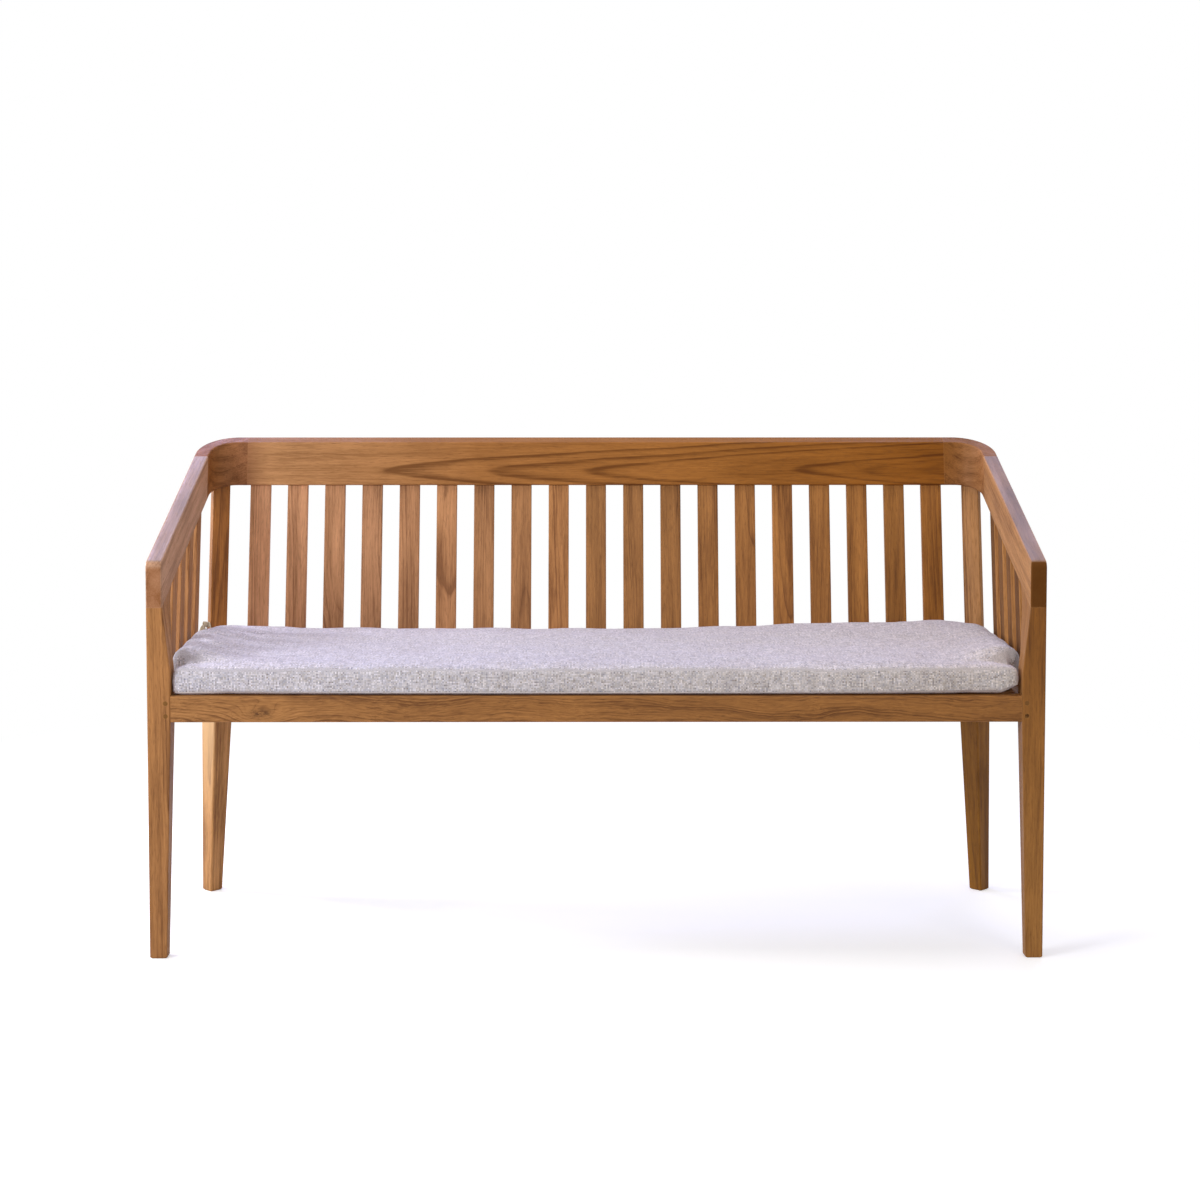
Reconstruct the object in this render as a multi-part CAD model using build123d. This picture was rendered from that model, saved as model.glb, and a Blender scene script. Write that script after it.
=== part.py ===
from build123d import *
import math
import os

# Slatted wooden bench with a U-shaped top rail and one loose seat cushion.
#
# Millimetres, +Z up. The sizes and places below are counted from the floor, from the middle of the
# width, and back from the front face of the front legs. The finished pieces are then shifted so
# that the origin is the bottom centre of the whole bench.

# Whole bench.
bench_width = 1500.0
bench_depth = 566.0  # front face of the legs to the top back edge of the rail
arm_front_height = 668.5  # top plane of the rail, carried to the front face
rail_slope = 17.3  # degrees that the top rail climbs towards the back
back_rake = 12.5  # degrees that the slats and the back lean back
seat_height = 444.0  # top of the seat frame
overrun = 20.0  # extra reach of every cutting solid
touch = 0.05  # reach of an edge search

# Top rail: two arms, two corner blocks and a back rail on one U-shaped line.
rail_thickness = 27.0
rail_depth = 76.0  # measured straight down
corner_radius = 72.0  # outer face
corner_lead = 18.5  # straight stretch of a corner block before its seams
rail_edge_round = 3.0
arm_nose_round = 15.0
tongue_thickness = 9.0
tongue_length = 22.0
tongue_margin = 14.0

# Slats.
back_slat_count = 19
back_slat_end_gap = 6.0  # last slat's edge to the corner block's seam
slat_width = 38.0
slat_thickness = 14.0
slat_recess = 6.0  # front face of a back slat behind the rail's inner face
slat_edge_round = 1.8
slat_tenon_length = 12.0
slat_tenon_shoulder = 3.0
side_slat_count = 4
side_slat_front_gap = 61.0  # leg to the first side slat, along the seat frame
side_slat_rear_gap = 20.0  # last side slat to the corner block's seam
corner_slat_width = 34.0
corner_slat_turn = 32.5  # degrees round the corner from the back

# Front legs: the outer and front faces are upright, the inner and rear faces taper.
front_foot_width = 29.0
front_foot_depth = 27.0
front_leg_width = 39.0
front_leg_depth = 42.0
front_leg_top_depth = 88.0
width_flare_share = 0.28  # height above the seat frame, of the free height under the arm
depth_flare_share = 0.46
leg_edge_round = 3.0
foot_ease = 2.0
leg_tenon_thickness = 11.0
leg_tenon_depth = 52.0
leg_tenon_height = 30.0
leg_tenon_root = 5.0
leg_tenon_setback = 14.0

# Rear legs: square, turned by an eighth, splayed towards the corners.
rear_leg_side = 43.5
rear_foot_side = 27.0
rear_leg_reach = 36.0  # corner's arc centre to the leg's axis at the seat frame
rear_foot_reach = 60.0
rear_leg_turn = 45.0
rear_tenon_side = 20.0
rear_tenon_height = 26.0

# Seat frame.
seat_rail_height = 44.0
seat_rail_setback = 1.5  # front rail behind the front face of the legs
seat_edge_round = 2.0
front_tenon_length = 28.0
front_tenon_thickness = 12.0
side_tenon_length = 18.0
tenon_margin = 6.0
peg_radius = 4.0
peg_length = 30.0
peg_inset = 8.0  # peg centre past the leg's inner face
peg_low = 10.5  # lower peg above the rail's underside
peg_spacing = 21.5

# Seat boards and the bearers under them.
board_count = 5
board_width = 68.0
board_thickness = 14.0
board_end_gap = 5.0
bearer_count = 4
bearer_width = 28.0
bearer_end_inset = 100.0  # board end to the axis of the outer bearer
bearer_stub_length = 10.0
bearer_stub_margin = 6.0

# Cushion.
cushion_rest_gap = 0.3
cushion_front_setback = 4.0
cushion_side_gap = 2.0  # inner face of the arms to the cushion
cushion_leg_gap = 8.0  # inner face of a front leg to the cushion's front corner
cushion_notch_depth = 3.5  # past the front corner, behind each front leg
cushion_notch_width = 12.0
cushion_ear_reach = 1.0  # start of the ear outside the leg's inner face
cushion_ear_clearance = 5.0  # leg's rear face to the start of the ear
cushion_ear_length = 35.0
cushion_back_gap = 1.5  # foot of the back slats to the cushion
cushion_corner_radius = 50.0
cushion_front_radius = 16.0
cushion_ear_radius = 25.0
cushion_draw_in = 3.0  # bow of the long edges between the corners
cushion_front_thickness = 47.0
cushion_rear_thickness = 50.0
cushion_middle_thickness = 54.0
cushion_top_round = 11.0
cushion_bottom_round = 7.0

# Tie: a tape round the left corner slat, knotted on its outer edge.
tie_width = 11.0
tie_thickness = 2.0
tie_gap = 0.3
tie_height = 51.0  # above the seat frame, along the slat
tie_corner_round = 1.5
tie_knot_radius = 5.0

rake = math.radians(back_rake)
slope = math.radians(rail_slope)
half_width = bench_width / 2
back_top_height = arm_front_height + bench_depth * math.tan(slope)
frame_back = bench_depth - (back_top_height - seat_height) * math.tan(rake)
seat_bottom = seat_height - seat_rail_height
arc_x = half_width - corner_radius
arc_y = frame_back - corner_radius
seam_x = arc_x - corner_lead
seam_lean_y = -corner_radius - corner_lead
rail_inner_x = half_width - rail_thickness
rail_mid_x = half_width - rail_thickness / 2
leg_inner_x = half_width - front_leg_width
rail_front = seat_rail_setback
rail_rear = rail_front + rail_thickness
rear_rail_front = frame_back - rail_thickness

# Leaning frame: x runs across, y back, z up along the slats, from the seat frame's rear top edge.
lean = Plane(
    origin=(0, frame_back, seat_height),
    x_dir=(1, 0, 0),
    z_dir=(0, math.sin(rake), math.cos(rake)),
)


def seat_y(lean_y):
    """Depth at which a line along the slats, lean_y behind the frame's back, crosses the seat."""
    return frame_back + lean_y / math.cos(rake)


def rail_height(y, drop=0.0):
    """Height of the rail's top plane at depth y, less a drop."""
    return arm_front_height - drop + y * math.tan(slope)


def lean_height(lean_y, drop=0.0):
    """The same height in the leaning frame, where the plane is steeper."""
    top_edge = (back_top_height - seat_height) / math.cos(rake)
    return top_edge + lean_y * math.tan(slope + rake) - drop


def lean_y_of(point):
    """Depth of a point in the leaning frame."""
    back = (point.Y - frame_back) * math.cos(rake)
    return back - (point.Z - seat_height) * math.sin(rake)


def block(x0, x1, y0, y1, z0, z1):
    """Box between six planes."""
    box = Box(x1 - x0, y1 - y0, z1 - z0)
    return Pos((x0 + x1) / 2, (y0 + y1) / 2, (z0 + z1) / 2) * box


def cross_bar(section, y, z, reach):
    """Bar across the bench from -reach to reach, its section centred at depth y and height z."""
    return extrude(Pos(0, y, z) * (Plane.YZ * section), amount=reach, both=True)


def band(y0, y1, low, high):
    """Solid across the bench between depths y0 and y1 and between two heights given by depth."""
    corners = [(y0, low(y0)), (y1, low(y1)), (y1, high(y1)), (y0, high(y0))]
    outline = make_face(Polyline(*corners, close=True))
    return extrude(Plane.YZ * outline, amount=half_width + overrun, both=True)


def flat(height):
    """Height function of a level plane."""
    return lambda y: height


def rail_top(y):
    return rail_height(y)


def rail_bottom(y):
    return rail_height(y, rail_depth)


def all_along(edge, test):
    """True when the test holds at both ends and in the middle of the edge."""
    return all(test(point) for point in (edge @ 0, edge @ 0.5, edge @ 1))


def is_on_top(edge):
    return all_along(edge, lambda p: abs(p.Z - rail_top(p.Y)) < touch)


def is_on_bottom(edge):
    return all_along(edge, lambda p: abs(p.Z - rail_bottom(p.Y)) < touch)


def is_seam(edge):
    """True for the edges where a corner block ends."""
    upright = all_along(edge, lambda p: abs(p.X - seam_x) < touch)
    leaning = all_along(edge, lambda p: abs(lean_y_of(p) - seam_lean_y) < touch)
    return upright or leaning


def long_edges(piece):
    """Edges that run with the rail along its top and its underside."""
    edges = [e for e in piece.edges() if is_on_top(e) or is_on_bottom(e)]
    return [e for e in edges if not is_seam(e) and abs((e @ 0).Y - (e @ 1).Y) > touch]


def other_side(piece):
    """Mirror image across the middle of the bench."""
    return mirror(piece, about=Plane.YZ)


def cut(piece, *tools):
    """The piece less every tool."""
    for tool in tools:
        piece = piece - tool
    return piece


# U-shaped ring in the leaning frame, cut by the rail's two sloping planes and by the front face.
ring_length = (bench_depth + corner_radius + overrun) / math.cos(rake)
ring_rise = (back_top_height - seat_height) / math.cos(rake) + overrun
outer_ring = RectangleRounded(bench_width, ring_length, corner_radius)
inner_ring = RectangleRounded(
    bench_width - 2 * rail_thickness,
    ring_length - 2 * rail_thickness,
    corner_radius - rail_thickness,
)
ring = Pos(0, -ring_length / 2, 0) * (outer_ring - inner_ring)
ribbon = extrude(lean * ring, amount=ring_rise, both=True)
ribbon = ribbon & band(0, bench_depth + overrun, rail_bottom, rail_top)
ring_top = 2 * back_top_height

# Seams: upright across the back, and square to the leaning frame at the arms.
rear_space = lean * block(
    0, half_width + overrun, seam_lean_y, overrun, -ring_top, ring_top
)
back_space = block(-seam_x, seam_x, 0, bench_depth + overrun, 0, ring_top)
right_space = block(
    seam_x, half_width + overrun, -overrun, bench_depth + overrun, 0, ring_top
)

back_rail = ribbon & back_space
back_edges = [e for e in back_rail.edges() if is_on_top(e) or is_on_bottom(e)]
back_rail = fillet([e for e in back_edges if e.length > seam_x], rail_edge_round)
corner_block = ribbon & right_space & rear_space
corner_edges = [e for e in corner_block.edges() if is_on_top(e) or is_on_bottom(e)]
corner_block = fillet([e for e in corner_edges if not is_seam(e)], rail_edge_round)

# Arm: its underside stays sharp where it meets the leg.
nose_limit = front_leg_top_depth - rail_edge_round
arm = (ribbon & right_space) - rear_space
joint_zone = block(0, half_width + overrun, 0, front_leg_top_depth, 0, ring_top)
arm_rear = arm - joint_zone
arm_rear = fillet(long_edges(arm_rear), rail_edge_round)
arm_nose = arm & joint_zone
front_edges = [e for e in arm_nose.edges() if all_along(e, lambda p: p.Y < touch)]
arm_nose = fillet([e for e in front_edges if is_on_top(e)], arm_nose_round)
nose_rim = [
    e for e in arm_nose.edges()
    if abs((e @ 0).X - (e @ 1).X) < touch and not is_on_bottom(e) and (e @ 0.5).Y < nose_limit
]
arm_nose = fillet(nose_rim, rail_edge_round)
arm = arm_rear + arm_nose

# Tongues of the corner blocks, in the back rail and in the arms.
rail_lean_depth = rail_depth * math.cos(slope) / math.cos(slope + rake)
tongue_front = -(rail_thickness + tongue_thickness) / 2
tongue_back_face = -(rail_thickness - tongue_thickness) / 2


def tongue(x0, x1, lean_y0, lean_y1):
    """Leaning tongue, its margins taken from the rail's two sloping faces."""
    low = lean_height(lean_y1, rail_lean_depth) + tongue_margin
    high = lean_height(lean_y0) - tongue_margin
    return lean * block(x0, x1, lean_y0, lean_y1, low, high)


back_tongue = tongue(
    seam_x - tongue_length, seam_x + corner_lead / 2, tongue_front, tongue_back_face
)
arm_tongue = tongue(
    rail_mid_x - tongue_thickness / 2,
    rail_mid_x + tongue_thickness / 2,
    seam_lean_y - tongue_length,
    seam_lean_y + corner_lead / 2,
)


def slat(width, centre_x, centre_y, turn, quarter=0.0):
    """Slat from the seat frame to the rail's underside, and its tenon section run into both.

    centre_x and centre_y say where its axis crosses the top of the seat frame.
    """
    foot = Plane(origin=(centre_x, centre_y, seat_height), x_dir=lean.x_dir, z_dir=lean.z_dir)
    foot = foot * Rot(0, 0, turn + quarter)
    bar = RectangleRounded(width, slat_thickness, slat_edge_round)
    core = Rectangle(width - 2 * slat_tenon_shoulder, slat_thickness - 2 * slat_tenon_shoulder)
    bar = extrude(foot * bar, amount=ring_rise, both=True)
    core = extrude(foot * core, amount=ring_rise, both=True)
    near, far = -overrun, bench_depth + overrun
    body = bar & band(near, far, flat(seat_height), rail_bottom)
    deeper = rail_depth - slat_tenon_length
    tenon = core & band(
        near, far, flat(seat_height - slat_tenon_length), lambda y: rail_height(y, deeper)
    )
    return body + tenon, tenon


# Back slats.
back_slat_lean_y = -rail_thickness + slat_recess + slat_thickness / 2
back_slat_y = seat_y(back_slat_lean_y)
back_slat_reach = seam_x - back_slat_end_gap - slat_width / 2
back_slat_pitch = 2 * back_slat_reach / (back_slat_count - 1)
back_slat, back_tenon = slat(slat_width, 0, back_slat_y, 0)
back_slat_places = [
    Pos(-back_slat_reach + back_slat_pitch * i, 0, 0) for i in range(back_slat_count)
]

# Side slats of the right side.
side_seam_y = arc_y - corner_lead
slat_reach = slat_width / math.cos(rake) / 2
first_side_y = front_leg_depth + side_slat_front_gap + slat_reach
last_side_y = side_seam_y - side_slat_rear_gap - slat_reach
side_slat_pitch = (last_side_y - first_side_y) / (side_slat_count - 1)
side_slat_ys = [first_side_y + side_slat_pitch * i for i in range(side_slat_count)]
side_slats = [slat(slat_width, rail_mid_x, y, 0, quarter=90) for y in side_slat_ys]

# Corner slat of the right side, square to the corner's arc.
corner_turn = math.radians(corner_slat_turn)
corner_mid_radius = corner_radius - rail_thickness / 2
corner_slat_x = arc_x + corner_mid_radius * math.sin(corner_turn)
corner_slat_y = seat_y(-corner_radius + corner_mid_radius * math.cos(corner_turn))
corner_slat, corner_tenon = slat(
    corner_slat_width, corner_slat_x, corner_slat_y, -corner_slat_turn
)


# Front leg. Its flares end where it meets the arm.
free_height = rail_bottom(0) - seat_height
width_flare_start = seat_height + width_flare_share * free_height
width_flare_end = rail_bottom(0)
depth_flare_start = seat_height + depth_flare_share * free_height
depth_flare_end = rail_bottom(front_leg_top_depth)


def between(value, low, high, start, end):
    """Straight change from start to end while the value goes from low to high."""
    share = min(max((value - low) / (high - low), 0.0), 1.0)
    return start + (end - start) * share


def leg_width(z):
    """Width of the front leg at a height."""
    if z < seat_height:
        return between(z, 0, seat_bottom, front_foot_width, front_leg_width)
    return between(z, width_flare_start, width_flare_end, front_leg_width, rail_thickness)


def leg_depth(z):
    """Depth of the front leg at a height."""
    if z < seat_height:
        return between(z, 0, seat_bottom, front_foot_depth, front_leg_depth)
    return between(z, depth_flare_start, depth_flare_end, front_leg_depth, front_leg_top_depth)


def leg_section(z, ease=0.0):
    """Section of the right front leg, which keeps its outer and front faces upright."""
    width, depth = leg_width(z), leg_depth(z)
    section = RectangleRounded(width - 2 * ease, depth - 2 * ease, leg_edge_round)
    return Pos(half_width - width / 2, depth / 2, z) * section


leg_heights = [foot_ease, seat_bottom, width_flare_start, width_flare_end]
leg_heights += [depth_flare_start, depth_flare_end, back_top_height]
leg_sections = [leg_section(0, foot_ease), *[leg_section(z) for z in sorted(leg_heights)]]
front_leg = loft(leg_sections, ruled=True)
front_leg = front_leg & band(-overrun, bench_depth, flat(0), rail_bottom)
leg_tenon = block(
    rail_mid_x - leg_tenon_thickness / 2,
    rail_mid_x + leg_tenon_thickness / 2,
    leg_tenon_setback,
    leg_tenon_setback + leg_tenon_depth,
    0,
    back_top_height,
)
leg_tenon = leg_tenon & band(
    0,
    bench_depth,
    lambda y: rail_height(y, rail_depth + leg_tenon_root),
    lambda y: rail_height(y, rail_depth - leg_tenon_height),
)

# Front rail of the seat, tenoned into the legs and pinned with round pegs.
rail_bar = RectangleRounded(rail_thickness, seat_rail_height, seat_edge_round)
rail_level = (seat_bottom + seat_height) / 2
front_rail_y = (rail_front + rail_rear) / 2
front_rail = cross_bar(rail_bar, front_rail_y, rail_level, leg_inner_x)
front_tenons = block(
    -leg_inner_x - front_tenon_length,
    leg_inner_x + front_tenon_length,
    front_rail_y - front_tenon_thickness / 2,
    front_rail_y + front_tenon_thickness / 2,
    seat_bottom + tenon_margin,
    seat_height - tenon_margin,
)
peg_x = leg_inner_x + peg_inset
peg_rod = Rot(-90, 0, 0) * Cylinder(
    peg_radius, peg_length, align=(Align.CENTER, Align.CENTER, Align.MIN)
)
peg_heights = [seat_bottom + peg_low, seat_bottom + peg_low + peg_spacing]
right_pegs = [Pos(peg_x, 0, z) * peg_rod for z in peg_heights]
left_pegs = [other_side(peg) for peg in right_pegs]

# Side rail of the right side, tenoned into the front leg.
side_rail_length = side_seam_y - front_leg_depth
side_rail = extrude(
    Pos(rail_mid_x, front_leg_depth, rail_level) * (Plane.XZ * rail_bar),
    amount=-side_rail_length,
)
side_tenon = block(
    rail_mid_x - front_tenon_thickness / 2,
    rail_mid_x + front_tenon_thickness / 2,
    front_leg_depth - side_tenon_length,
    front_leg_depth,
    seat_bottom + tenon_margin,
    seat_height - tenon_margin,
)

# Rear rail of the seat.
rear_rail = cross_bar(rail_bar, (rear_rail_front + frame_back) / 2, rail_level, seam_x)

# Corner block of the seat frame: round outside, straight across inside.
corner_reach = corner_radius * math.sqrt(2) / 2
seat_corner_outline = [
    Line((seam_x, frame_back), (arc_x, frame_back)),
    ThreePointArc(
        (arc_x, frame_back),
        (arc_x + corner_reach, arc_y + corner_reach),
        (half_width, arc_y),
    ),
    Line((half_width, arc_y), (half_width, side_seam_y)),
    Line((half_width, side_seam_y), (rail_inner_x, side_seam_y)),
    Line((rail_inner_x, side_seam_y), (seam_x, rear_rail_front)),
    Line((seam_x, rear_rail_front), (seam_x, frame_back)),
]
seat_corner = extrude(
    Pos(0, 0, seat_bottom) * make_face(seat_corner_outline), amount=seat_rail_height
)


def is_outer_rim(edge):
    """True for the level edges along the outside of the seat corner."""
    mid = edge @ 0.5
    level = abs((edge @ 0).Z - (edge @ 1).Z) < touch
    off_centre = math.hypot(max(mid.X - arc_x, 0), max(mid.Y - arc_y, 0))
    return level and abs(off_centre - corner_radius) < touch and edge.length > corner_lead / 2


seat_corner = fillet([e for e in seat_corner.edges() if is_outer_rim(e)], seat_edge_round)
seat_tongue_back = block(
    seam_x - tongue_length,
    seam_x,
    frame_back - (rail_thickness + tongue_thickness) / 2,
    frame_back - (rail_thickness - tongue_thickness) / 2,
    seat_bottom + tenon_margin,
    seat_height - slat_tenon_length,
)
seat_tongue_side = block(
    rail_mid_x - tongue_thickness / 2,
    rail_mid_x + tongue_thickness / 2,
    side_seam_y - tongue_length,
    side_seam_y,
    seat_bottom + tenon_margin,
    seat_height - slat_tenon_length,
)


# Rear leg of the right side.
foot_share = foot_ease / seat_bottom


def rear_section(z, reach, side, ease=0.0):
    """Section of the right rear leg, its axis on the corner's diagonal."""
    offset = reach * math.sqrt(2) / 2
    section = RectangleRounded(side - 2 * ease, side - 2 * ease, leg_edge_round)
    return Pos(arc_x + offset, arc_y + offset, z) * Rot(0, 0, rear_leg_turn) * section


rear_ease_side = rear_foot_side + (rear_leg_side - rear_foot_side) * foot_share
rear_ease_reach = rear_foot_reach + (rear_leg_reach - rear_foot_reach) * foot_share
rear_leg = loft(
    [
        rear_section(0, rear_foot_reach, rear_foot_side, foot_ease),
        rear_section(foot_ease, rear_ease_reach, rear_ease_side),
        rear_section(seat_bottom, rear_leg_reach, rear_leg_side),
    ],
    ruled=True,
)
rear_leg_offset = rear_leg_reach * math.sqrt(2) / 2
rear_tenon = Pos(arc_x + rear_leg_offset, arc_y + rear_leg_offset, seat_bottom) * Rot(
    0, 0, rear_leg_turn
) * Box(
    rear_tenon_side,
    rear_tenon_side,
    rear_tenon_height,
    align=(Align.CENTER, Align.CENTER, Align.MIN),
)

# Seat boards on cross bearers. The rear board stops short of the corner blocks.
board_space = rear_rail_front - rail_rear
board_gap = (board_space - board_count * board_width) / (board_count + 1)
board_bottom = seat_height - board_thickness
board_bar = RectangleRounded(board_width, board_thickness, seat_edge_round)
board_pitch = board_width + board_gap
first_board_y = rail_rear + board_gap + board_width / 2
board_ys = [first_board_y + board_pitch * i for i in range(board_count)]


def board_reach(y):
    """Half the length of a board that is centred at depth y."""
    corner_face_x = rail_inner_x - (y + board_width / 2 - side_seam_y)
    return min(leg_inner_x, corner_face_x) - board_end_gap


seat_boards = [
    cross_bar(board_bar, y, seat_height - board_thickness / 2, board_reach(y)) for y in board_ys
]
bearer_reach = board_reach(board_ys[0]) - bearer_end_inset
bearer_pitch = 2 * bearer_reach / (bearer_count - 1)
bearer_xs = [-bearer_reach + bearer_pitch * i for i in range(bearer_count)]
bearer = block(
    -bearer_width / 2, bearer_width / 2, rail_rear, rear_rail_front, seat_bottom, board_bottom
)
bearer_stub = block(
    -bearer_width / 2 + bearer_stub_margin,
    bearer_width / 2 - bearer_stub_margin,
    rail_rear - bearer_stub_length,
    rear_rail_front + bearer_stub_length,
    seat_bottom + bearer_stub_margin,
    board_bottom - bearer_stub_margin,
)
bearer = bearer + bearer_stub

# Cushion: long edges drawn in between the corners, a crowned top and rolled edges.
cushion_bottom = seat_height + cushion_rest_gap
cushion_side_x = rail_inner_x - cushion_side_gap
cushion_front_x = leg_inner_x - cushion_leg_gap
cushion_front_y = cushion_front_setback
cushion_rear_y = back_slat_y - slat_thickness / math.cos(rake) / 2 - cushion_back_gap
ear_x = leg_inner_x + cushion_ear_reach
ear_y = front_leg_depth + cushion_ear_clearance
right_edge = [
    (cushion_front_x, cushion_front_y + cushion_draw_in),
    (ear_x, ear_y),
    (cushion_side_x, ear_y + cushion_ear_length),
    (cushion_side_x, cushion_rear_y),
]
left_edge = [(-x, y) for x, y in reversed(right_edge)]
cushion_outline = [
    Polyline(*right_edge),
    ThreePointArc(right_edge[-1], (0, cushion_rear_y - cushion_draw_in), left_edge[0]),
    Polyline(*left_edge),
    ThreePointArc(left_edge[-1], (0, cushion_front_y), right_edge[0]),
]
cushion_face = make_face(cushion_outline)


def outline_corners(points):
    """Corners of the cushion's outline at the given places, on both sides."""
    wanted = [Vector(x, y) for x, y in points] + [Vector(-x, y) for x, y in points]
    vertices = cushion_face.vertices()
    return [v for v in vertices if any((Vector(v.X, v.Y) - w).length < touch for w in wanted)]


cushion_face = fillet(outline_corners(right_edge[:1]), cushion_front_radius)
cushion_face = fillet(outline_corners(right_edge[1:3]), cushion_ear_radius)
cushion_face = fillet(outline_corners(right_edge[3:]), cushion_corner_radius)
cushion_prism = extrude(
    Pos(0, 0, cushion_bottom) * cushion_face, amount=2 * cushion_middle_thickness
)

# The crown is one arc from the front to the back.
crown_near, crown_far = cushion_front_y - overrun, cushion_rear_y + overrun
crown_front = (crown_near, cushion_bottom + cushion_front_thickness)
crown_middle = ((crown_near + crown_far) / 2, cushion_bottom + cushion_middle_thickness)
crown_rear = (crown_far, cushion_bottom + cushion_rear_thickness)
crown_outline = [
    Line((crown_near, seat_bottom), (crown_far, seat_bottom)),
    Line((crown_far, seat_bottom), crown_rear),
    ThreePointArc(crown_rear, crown_middle, crown_front),
    Line(crown_front, (crown_near, seat_bottom)),
]
crown = extrude(Plane.YZ * make_face(crown_outline), amount=half_width, both=True)
cushion = cushion_prism & crown
top_rim = cushion.faces().sort_by(Axis.Z)[-1].edges()
cushion = fillet(top_rim, cushion_top_round)
bottom_rim = cushion.faces().sort_by(Axis.Z)[0].edges()
cushion = fillet(bottom_rim, cushion_bottom_round)
notch_outline = Polyline(
    (cushion_front_x - cushion_notch_depth, front_leg_depth),
    (leg_inner_x, front_leg_depth - cushion_notch_width),
    (rail_inner_x, front_leg_depth - cushion_notch_width),
    (rail_inner_x, ear_y),
    close=True,
)
notch = extrude(
    Pos(0, 0, seat_bottom) * make_face(notch_outline), amount=2 * cushion_middle_thickness
)
cushion = cushion - notch - other_side(notch)

# Tie round the left corner slat.
tie_place = Plane(
    origin=(corner_slat_x, corner_slat_y, seat_height), x_dir=lean.x_dir, z_dir=lean.z_dir
) * Rot(0, 0, -corner_slat_turn)
tie_inner_x = corner_slat_width + 2 * tie_gap
tie_inner_y = slat_thickness + 2 * tie_gap
tie_loop = RectangleRounded(
    tie_inner_x + 2 * tie_thickness, tie_inner_y + 2 * tie_thickness, tie_corner_round
)
tie_loop = tie_loop - RectangleRounded(tie_inner_x, tie_inner_y, tie_corner_round)
tie_band = extrude(tie_place * Pos(0, 0, tie_height) * tie_loop, amount=tie_width)
tie_knot = tie_place * Pos(
    tie_inner_x / 2 + tie_knot_radius + tie_gap, 0, tie_height + tie_width / 2
) * Sphere(tie_knot_radius)
cushion_tie = other_side(tie_band + tie_knot)

# Joints between the pieces.
arm = cut(arm, arm_tongue, leg_tenon, *[tenon for _, tenon in side_slats])
back_slots = [place * back_tenon for place in back_slat_places]
back_rail = cut(back_rail, back_tongue, other_side(back_tongue), *back_slots)
corner_block = corner_block + back_tongue + arm_tongue
corner_block = cut(corner_block, corner_tenon)
front_leg = front_leg + leg_tenon
front_leg = cut(front_leg, front_tenons, side_tenon, *right_pegs)
bearers = [Pos(x, 0, 0) * bearer for x in bearer_xs]
front_rail = cut(front_rail + front_tenons, *right_pegs, *left_pegs, *bearers)
side_rail = cut(side_rail + side_tenon, seat_tongue_side, *[tenon for _, tenon in side_slats])
rear_rail = cut(
    rear_rail, seat_tongue_back, other_side(seat_tongue_back), *back_slots, *bearers
)
seat_corner = seat_corner + seat_tongue_back + seat_tongue_side
seat_corner = cut(seat_corner, corner_tenon, rear_tenon)
rear_leg = rear_leg + rear_tenon

nodes = {
    "back_rail": back_rail,
    "seat_front_rail": front_rail,
    "seat_rear_rail": rear_rail,
    "front_rail_pegs": Compound(children=right_pegs + left_pegs),
    "cushion": cushion,
    "cushion_tie": cushion_tie,
}
right_pieces = {
    "corner_block": corner_block,
    "arm": arm,
    "front_leg": front_leg,
    "rear_leg": rear_leg,
    "seat_side_rail": side_rail,
    "seat_corner_block": seat_corner,
    "corner_slat": corner_slat,
}
for number, (piece, _) in enumerate(side_slats, start=1):
    right_pieces[f"side_slat_{number}"] = piece
for name, piece in right_pieces.items():
    nodes[f"{name}_right"] = piece
    nodes[f"{name}_left"] = other_side(piece)
for number, place in enumerate(back_slat_places, start=1):
    nodes[f"back_slat_{number:02d}"] = place * back_slat
for number, board in enumerate(seat_boards, start=1):
    nodes[f"seat_board_{number}"] = board
for number, piece in enumerate(bearers, start=1):
    nodes[f"seat_bearer_{number}"] = piece

os.makedirs("parts", exist_ok=True)
to_origin = Pos(0, -back_rail.bounding_box().max.Y / 2, 0)
for name, piece in nodes.items():
    export_step(to_origin * piece, f"parts/{name}.step")
print(len(nodes), "nodes")
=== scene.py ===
import math
import random

import bmesh
import bpy
import numpy as np
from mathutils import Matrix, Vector


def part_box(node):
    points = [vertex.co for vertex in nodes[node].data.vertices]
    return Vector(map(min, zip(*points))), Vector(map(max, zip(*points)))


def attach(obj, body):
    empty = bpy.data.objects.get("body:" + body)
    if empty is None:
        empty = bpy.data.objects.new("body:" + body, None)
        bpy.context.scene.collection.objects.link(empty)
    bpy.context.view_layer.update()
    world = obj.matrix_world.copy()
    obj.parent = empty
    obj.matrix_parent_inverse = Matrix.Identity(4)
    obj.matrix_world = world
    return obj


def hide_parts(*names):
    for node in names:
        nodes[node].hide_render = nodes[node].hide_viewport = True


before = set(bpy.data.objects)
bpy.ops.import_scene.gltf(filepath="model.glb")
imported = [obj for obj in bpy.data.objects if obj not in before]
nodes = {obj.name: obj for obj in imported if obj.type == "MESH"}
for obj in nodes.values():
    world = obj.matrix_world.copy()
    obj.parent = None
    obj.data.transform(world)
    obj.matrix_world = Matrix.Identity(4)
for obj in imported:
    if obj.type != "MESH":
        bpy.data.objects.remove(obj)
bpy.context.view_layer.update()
scene = bpy.context.scene


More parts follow.
